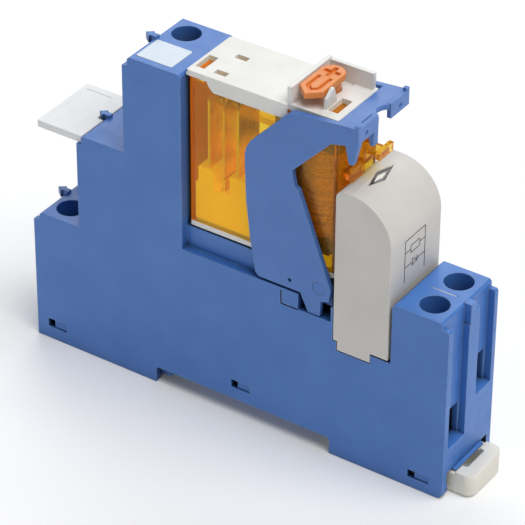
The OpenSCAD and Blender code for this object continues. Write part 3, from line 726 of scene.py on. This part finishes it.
def tube(path: np.ndarray, radius: float, steps: int = 10) -> tuple[np.ndarray, np.ndarray]:
    """Carries a circle along a path: each ring stands square to the path's tangent, and the ends close.

    Args:
        path: Points, shape (n, 3), metres, nowhere parallel to (1, 2, 3).
        radius: Radius, metres.
        steps: Points round the circle.

    Returns:
        Vertices and quads.
    """
    tangent = np.gradient(path, axis=0)
    tangent /= np.linalg.norm(tangent, axis=1, keepdims=True)
    side = np.cross(tangent, np.array([1.0, 2.0, 3.0]))
    side /= np.linalg.norm(side, axis=1, keepdims=True)
    other = np.cross(tangent, side)
    turn = np.linspace(0, TAU, steps + 1)
    turn[-1] = 0.0
    ring = np.cos(turn)[None, :, None] * side[:, None] + np.sin(turn)[None, :, None] * other[:, None]
    first, last = (np.repeat(end[:, None], steps + 1, 1) for end in (path[:1], path[-1:]))
    return grid(np.concatenate([first, path[:, None] + radius * ring, last]))


def curve(knots: np.ndarray, steps: int = 12) -> np.ndarray:
    """Smooth path through knots: on each span, Catmull and Rom's cubic blend of the four knots round it.

    Args:
        knots: Points, shape (n, 3).
        steps: Points on each span.

    Returns:
        Points of the path.
    """
    padded = np.concatenate([2 * knots[:1] - knots[1:2], knots, 2 * knots[-1:] - knots[-2:-1]])
    t = np.linspace(0, 1, steps, endpoint=False)[None, :, None]
    a, b, c, d = (padded[i : len(padded) - 3 + i, None] for i in range(4))
    spans = 0.5 * (2 * b + (c - a) * t + (2 * a - 5 * b + 4 * c - d) * t**2 + (3 * b - a - 3 * c + d) * t**3)
    return np.concatenate([spans.reshape(-1, 3), knots[-1:]])


def box_of(node: str) -> tuple[np.ndarray, np.ndarray]:
    """Lowest and highest corner of a CAD node as arrays, metres."""
    low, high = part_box(node)
    return np.array(low), np.array(high)


# ---------- dressing ----------


def dress(name: str, finish: Finishes, ease: float = 0.0) -> bpy.types.Object:
    """Gives a CAD node its finish and, if asked, truly rounded edges.

    Args:
        name: CAD node.
        finish: Its finish.
        ease: Width of the rounding on its edges, mm; 0 leaves them to the finish.

    Returns:
        The node's object.
    """
    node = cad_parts[name]
    node.data.materials.clear()
    node.data.materials.append(finish.material())
    if ease:
        weld = node.modifiers.new("merge", "WELD")
        weld.merge_threshold = 1e-6
        flat = node.modifiers.new("flatten", "DECIMATE")
        flat.decimate_type = "DISSOLVE"
        flat.angle_limit = math.radians(0.4)
        round_off = node.modifiers.new("ease", "BEVEL")
        round_off.width = ease * MM
        round_off.segments = 2
        round_off.limit_method = "ANGLE"
        round_off.angle_limit = math.radians(35)
        round_off.harden_normals = False
    LOG.info("%s: %s", name, finish.value.name)
    return node


def finish_piece(shown: bpy.types.Object, body: str, finish: Finishes, *nodes: str, slot: str = "") -> None:
    """Puts a new piece on its body, gives it its finish, hides the CAD nodes that it replaces and logs its
    finish and body.

    Args:
        shown: The piece.
        body: Body that it rides on.
        finish: Its finish.
        *nodes: CAD nodes that it replaces.
        slot: Not used.
    """
    shown.data.materials.append(finish.material())
    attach(shown, body)
    if nodes:
        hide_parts(*nodes)
    LOG.info("%s: %s, on %s", shown.name, finish.value.name, body)


# ---------- sub-assemblies ----------


@dataclass
class Socket:
    """The blue socket with its base, rail clip, label, tag and contact bars.

    Attributes:
        ease: Rounding of the tag's and the rail clip's edges, mm.
        bars: Its contact bars.
        mark_face: Height of the face that the pale line lies on, mm.
        mark_sunk: Depth of the line's middle under that face, mm.
        mark_radius: Radius of the line, mm.
    """

    ease: float = 0.18
    bars: tuple[str, ...] = ("bus_com", "bus_nc", "bus_no", "bus_a1", "bus_a2")
    mark_face: float = 32.9
    mark_sunk: float = 0.07
    mark_radius: float = 0.095

    def build(self) -> None:
        """Dresses the socket's nodes."""
        dress("socket_housing", Finishes.SOCKET_BLUE)
        dress("socket_base", Finishes.SOCKET_BLUE)
        dress("marker_label", Finishes.LABEL_PALE)
        dress("id_tag", Finishes.TAG_WHITE, self.ease)
        dress("rail_clip", Finishes.NATURAL_NYLON, self.ease)
        for bar in self.bars:
            dress(bar, Finishes.BRASS_BAR)
        self.mark()

    def mark(self) -> None:
        """Lays the pale line between the coil's screw holes: a thin bead, mostly sunk in the housing."""
        low, high = box_of("cage_a1")
        y, z = 0.2 * MM, (self.mark_face - self.mark_sunk) * MM
        ends = np.array([[low[0] - 0.3 * MM, y, z], [high[0] - 0.7 * MM, y, z]])
        shown = piece("coil_mark", *tube(ends, self.mark_radius * MM, 8))
        finish_piece(shown, "socket", Finishes.TAG_WHITE, slot="label")


@dataclass
class Terminals:
    """The five terminal screws in their cage clamps."""

    places: tuple[str, ...] = ("com", "nc", "no", "a1", "a2")

    def build(self) -> None:
        """Dresses the screws and the cages."""
        for place in self.places:
            dress(f"screw_{place}", Finishes.ZINC_STEEL)
            dress(f"cage_{place}", Finishes.BRIGHT_STEEL)


@dataclass
class ReleaseClip:
    """The hinged blue clip that holds the relay down and levers it out."""

    ease: float = 0.2

    def build(self) -> None:
        """Dresses the clip."""
        dress("release_clip", Finishes.CLIP_BLUE, self.ease)


@dataclass
class Coil:
    """The relay's coil: bobbin, wire, core and yoke.

    Attributes:
        turns: Turns in the layer that shows.
        around: Points round each turn.
        across: Points across each wire.
        slack: How far the layer strays from a perfect one, mm.
        lead: Radius of the winding's two ends, mm.
    """

    turns: int = 38
    around: int = 96
    across: int = 8
    slack: float = 0.012
    lead: float = 0.1

    def winding(self) -> None:
        """Winds the wire.

        The surface's radius at height z and angle t is the layer's radius plus the half circle of the wire
        whose phase is z / pitch minus t / a full turn, so the crests form one helix. Three slow sines, slack
        mm high together, keep the layer from being perfect.
        """
        low, high = box_of("coil_winding")
        centre = (low + high) / 2
        length = (high - low)[2] / MM
        pitch = length / self.turns
        outer = (high - low)[0] / 2 / MM
        z = np.linspace(0, length, self.turns * self.across + 1)[:, None]
        t = np.linspace(0, TAU, self.around + 1)[None, :]
        phase = np.mod(z / pitch - t / TAU, 1.0) * 2 - 1
        wire = pitch / 2
        crest = wire * np.sqrt(np.clip(1 - phase**2, 0, 1))
        waves = np.sin(z * 1.7 + 2 * np.cos(t)) + np.sin(z * 0.61 + 1.3) + np.cos(z * 3.1 + t)
        drift = self.slack * waves / 3
        radius = outer - wire - self.slack + crest + drift
        radius[:, -1] = radius[:, 0]
        points = np.stack(
            [radius * np.cos(t), radius * np.sin(t), np.broadcast_to(z - length / 2, radius.shape)], axis=-1
        )
        core = np.zeros((1, self.around + 1, 3))
        bottom, top = core.copy(), core.copy()
        bottom[..., 2], top[..., 2] = -length / 2, length / 2
        closed = np.concatenate([bottom, points, top]) * MM + centre
        shown = piece("coil_wire", *grid(closed))
        finish_piece(shown, "relay", Finishes.COPPER_WIRE, "coil_winding", slot="copper")

    def leads(self) -> None:
        """Lays the winding's two ends: each leaves the lowest turn and crosses the bobbin's foot to its pin."""
        low, high = box_of("coil_winding")
        pins_low, pins_high = box_of("coil_pins")
        middle = (low + high) / 2
        for side, edge in ((-1, pins_low[1]), (1, pins_high[1])):
            foot = np.array([pins_low[0] + 0.3 * MM, edge - side * 0.55 * MM, pins_high[2]])
            start = np.array([middle[0] + 3.0 * MM, middle[1] + side * 3.2 * MM, low[2] + 0.5 * MM])
            knots = np.array(
                [
                    start,
                    start + np.array([0.6, side * 0.9, -0.35]) * MM,
                    foot + np.array([1.3, side * 0.2, 0.55]) * MM,
                    foot + np.array([0.1, side * 0.1, 0.12]) * MM,
                ]
            )
            name = "coil_lead_front" if side < 0 else "coil_lead_rear"
            shown = piece(name, *tube(curve(knots), self.lead * MM))
            finish_piece(shown, "relay", Finishes.COPPER_WIRE, slot="copper")

    def build(self) -> None:
        """Builds the wire and dresses the rest."""
        self.winding()
        self.leads()
        dress("coil_bobbin", Finishes.BOBBIN_BLACK)
        dress("coil_core", Finishes.SOFT_IRON)
        dress("coil_yoke", Finishes.SOFT_IRON)
        dress("coil_pins", Finishes.TINNED)
        dress("armature", Finishes.SOFT_IRON)
        dress("armature_spring", Finishes.BRONZE_STRIP)


@dataclass
class Contacts:
    """The relay's contact set: blades, foot, rivets and the yellow pusher.

    Attributes:
        blades: The blades and the moving blade's foot.
        rise: Rise of a rivet's domed face, mm.
        rim: Radius of a rivet's rim, mm.
    """

    blades: tuple[str, ...] = ("blade_no", "blade_nc", "blade_com", "contact_foot")
    rise: float = 0.12
    rim: float = 0.18

    def rivet(self, low_x: float, high_x: float, radius: float, centre: np.ndarray, dome: int):
        """A rivet head turned about x: a flat shank side, a rounded rim and a domed face.

        Args:
            low_x: Lower end along x, metres.
            high_x: Upper end along x, metres.
            radius: Radius, mm.
            centre: Point on the axis.
            dome: 1 if the face looks along +x, and -1 if it looks along -x.

        Returns:
            Vertices and quads.
        """
        length = (high_x - low_x) / MM
        flat, face = radius - self.rim, length - self.rise
        corner = np.linspace(0, math.pi / 2, 5)
        profile = [(0.0, 0.0), (radius, 0.0)]
        profile += [(flat + self.rim * math.cos(a), face - self.rim + self.rim * math.sin(a)) for a in corner]
        profile += [(r, face + self.rise * (1 - (r / radius) ** 2)) for r in np.linspace(flat, 0, 6)[1:]]
        rows = np.array(profile)
        if dome < 0:
            rows[:, 1] = length - rows[:, 1]
        start = np.array([low_x, centre[1], centre[2]])
        return lathe(rows, start, 0, 40)

    def rivets(self, node: str, name: str, body: str, spans: list[tuple[float, float, int]]) -> None:
        """Builds the rivets that one CAD node holds.

        Args:
            node: CAD node that they replace.
            name: Name of the new piece.
            body: Body that they ride on.
            spans: For each, start and length along x from the node's low side, mm, and the dome's direction.
        """
        low, high = box_of(node)
        radius = (high - low)[2] / 2 / MM
        centre = (low + high) / 2
        parts = [
            self.rivet(low[0] + start * MM, low[0] + (start + length) * MM, radius, centre, dome)
            for start, length, dome in spans
        ]
        shown = piece(name, *join(parts), smooth=False)
        finish_piece(shown, body, Finishes.SILVER, node, slot="silver")

    def build(self) -> None:
        """Dresses the blades and builds the rivets."""
        for blade in self.blades:
            dress(blade, Finishes.BRONZE_STRIP)
        self.rivets("fixed_rivets", "contacts_fixed", "relay", [(0.0, 0.75, 1), (3.75, 1.7, -1)])
        self.rivets("moving_rivets", "contacts_moving", "moving_contact", [(0.0, 0.9, -1), (1.15, 0.9, 1)])
        dress("pusher", Finishes.CARRIER_YELLOW)


@dataclass
class Relay:
    """The plug-in relay: amber cover, white plates, yellow carrier, and what works inside."""

    coil: Coil = field(default_factory=Coil)
    contacts: Contacts = field(default_factory=Contacts)

    def build(self) -> None:
        """Dresses the relay's shell and builds its insides."""
        dress("relay_cover", Finishes.AMBER_CLEAR, 0.12)
        dress("relay_top", Finishes.RELAY_WHITE)
        dress("relay_base", Finishes.RELAY_WHITE)
        dress("relay_insulator", Finishes.CARRIER_YELLOW)
        dress("test_button", Finishes.BUTTON_ORANGE, 0.14)
        dress("flag", Finishes.FLAG_ORANGE)
        self.contacts.build()
        self.coil.build()


@dataclass
class IndicatorModule:
    """The grey plug-in module with its light and protection parts.

    Attributes:
        ease: Rounding of the case's edges, mm.
        pen: Half the width of a printed line, mm.
    """

    ease: float = 0.22
    pen: float = 0.06

    def build(self) -> None:
        """Dresses the module."""
        dress("module_case", Finishes.MODULE_GREY, self.ease)
        dress("module_window", Finishes.LIGHT_PIPE)
        dress("module_board", Finishes.BOARD)
        dress("module_led", Finishes.EPOXY_CLEAR)
        dress("module_diode", Finishes.DIODE_BLACK)
        dress("module_resistor", Finishes.RESISTOR_TAN)
        dress("module_pins", Finishes.TINNED)
        self.sketch()

    def sketch(self) -> None:
        """Prints a plain wiring symbol on the end face: two rails, a resistor and a diode."""
        face = box_of("module_case")[1][0]
        # each stroke's corners along y and z, mm
        strokes = [
            [(-3.4, 34.5), (-3.4, 42.7), (2.9, 42.7), (2.9, 34.5)],
            [(-3.4, 40.3), (-1.6, 40.3)],
            [(-1.6, 39.6), (-1.6, 41.0), (1.2, 41.0), (1.2, 39.6), (-1.6, 39.6)],
            [(1.2, 40.3), (2.9, 40.3)],
            [(-3.4, 37.4), (-1.0, 37.4)],
            [(-1.0, 36.7), (-1.0, 38.1), (0.5, 37.4), (-1.0, 36.7)],
            [(0.5, 36.7), (0.5, 38.1)],
            [(0.5, 37.4), (2.9, 37.4)],
        ]
        lines = []
        for stroke in strokes:
            for start, end in zip(stroke, stroke[1:]):
                ends = np.array([[face, y * MM, z * MM] for y, z in (start, end)])
                lines.append(tube(ends, self.pen * MM, 6))
        shown = piece("module_sketch", *join(lines))
        finish_piece(shown, "socket", Finishes.PRINT_DARK, slot="bobbin")


# ---------- studio ----------


@dataclass
class Studio:
    """Pale floor, soft light and the camera."""

    azimuth: float = 33.785
    elevation: float = 34.57
    roll: float = 0.367
    place: tuple[float, float, float] = (0.24572, -0.36785, 0.32985)
    lens: float = 213.23
    shift: tuple[float, float] = (0.0006, -0.001)
    floor_half: float = 3.0

    def camera(self) -> None:
        """Stands the camera at its measured place, azimuth, elevation and roll."""
        data = bpy.data.cameras.new("camera")
        data.lens = self.lens
        data.sensor_width = 36
        data.shift_x, data.shift_y = self.shift
        data.clip_start, data.clip_end = 0.05, 20
        camera = bpy.data.objects.new("camera", data)
        turn = Matrix.Rotation(math.radians(self.azimuth), 4, "Z")
        tilt = Matrix.Rotation(math.radians(90 - self.elevation), 4, "X")
        lean = Matrix.Rotation(math.radians(self.roll), 4, "Z")
        camera.matrix_world = Matrix.Translation(self.place) @ turn @ tilt @ lean
        bpy.context.scene.collection.objects.link(camera)
        bpy.context.scene.camera = camera

    def floor(self) -> None:
        """Lays a matt floor under the lowest point: a flat grid with a slow waviness in its colour."""
        low = CAD_BOX[0][2]
        s = np.linspace(-self.floor_half, self.floor_half, 9)
        x, y = np.meshgrid(s, s, indexing="ij")
        vertices, quads = grid(np.stack([x, y, np.full_like(x, low - 0.05 * MM)], axis=-1))
        mesh = bpy.data.meshes.new("floor")
        mesh.from_pydata(vertices.tolist(), [], quads.tolist())
        floor = bpy.data.objects.new("floor", mesh)
        bpy.context.scene.collection.objects.link(floor)
        material, tree = blank("paper_floor")
        cloud = ramp(tree, noise(tree, 400.0), 0.3, 0.7, 0.0, 1.0)
        shader = add(
            tree,
            "ShaderNodeBsdfPrincipled",
            {"Base Color": blend(tree, cloud, "#f7f7f6", "#fbfbfb")},
            {
                "Roughness": 0.9,
                "Specular IOR Level": 0.2,
                "Emission Color": colour("#ffffff"),
                "Emission Strength": 0.06,
            },
        )
        add(tree, "ShaderNodeOutputMaterial", {"Surface": shader.outputs[0]})
        mesh.materials.append(material)

    def area(self, name: str, place: tuple[float, float, float], size: float, power: float) -> None:
        """Adds a square soft light that looks at the object.

        Args:
            name: Lamp name.
            place: Where it stands, metres.
            size: Side, metres.
            power: Watts.
        """
        data = bpy.data.lights.new(name, "AREA")
        data.size, data.energy = size, power
        lamp = bpy.data.objects.new(name, data)
        aim = Vector((0, 0, 0.03)) - Vector(place)
        lamp.matrix_world = Matrix.Translation(place) @ aim.to_track_quat("-Z", "Y").to_matrix().to_4x4()
        bpy.context.scene.collection.objects.link(lamp)

    def light(self) -> None:
        """A broad soft sun from above, a softbox behind that the tops mirror, and a faint sky."""
        sun = bpy.data.lights.new("overhead", "SUN")
        sun.energy, sun.angle = 2.3, math.radians(50)
        lamp = bpy.data.objects.new("overhead", sun)
        lamp.matrix_world = Vector((-0.42, 0.04, -1.0)).to_track_quat("-Z", "Y").to_matrix().to_4x4()
        bpy.context.scene.collection.objects.link(lamp)
        self.area("rear_box", (-0.6, 0.9, 0.8), 0.9, 5.5)
        world = bpy.data.worlds.new("sky")
        world.use_nodes = True
        world.node_tree.nodes["Background"].inputs["Color"].default_value = colour("#f4f7fb")
        world.node_tree.nodes["Background"].inputs["Strength"].default_value = 0.17
        bpy.context.scene.world = world

    def build(self) -> None:
        """Sets the whole stage and neutral colour handling."""
        self.camera()
        self.floor()
        self.light()
        bpy.context.scene.view_settings.view_transform = "Standard"


def main() -> None:
    """Builds the stage and every sub-assembly in order."""
    logging.basicConfig(level=logging.INFO, format="%(message)s")
    for part in (Studio(), Socket(), Terminals(), ReleaseClip(), Relay(), IndicatorModule()):
        part.build()


if __name__ == "__main__":
    main()
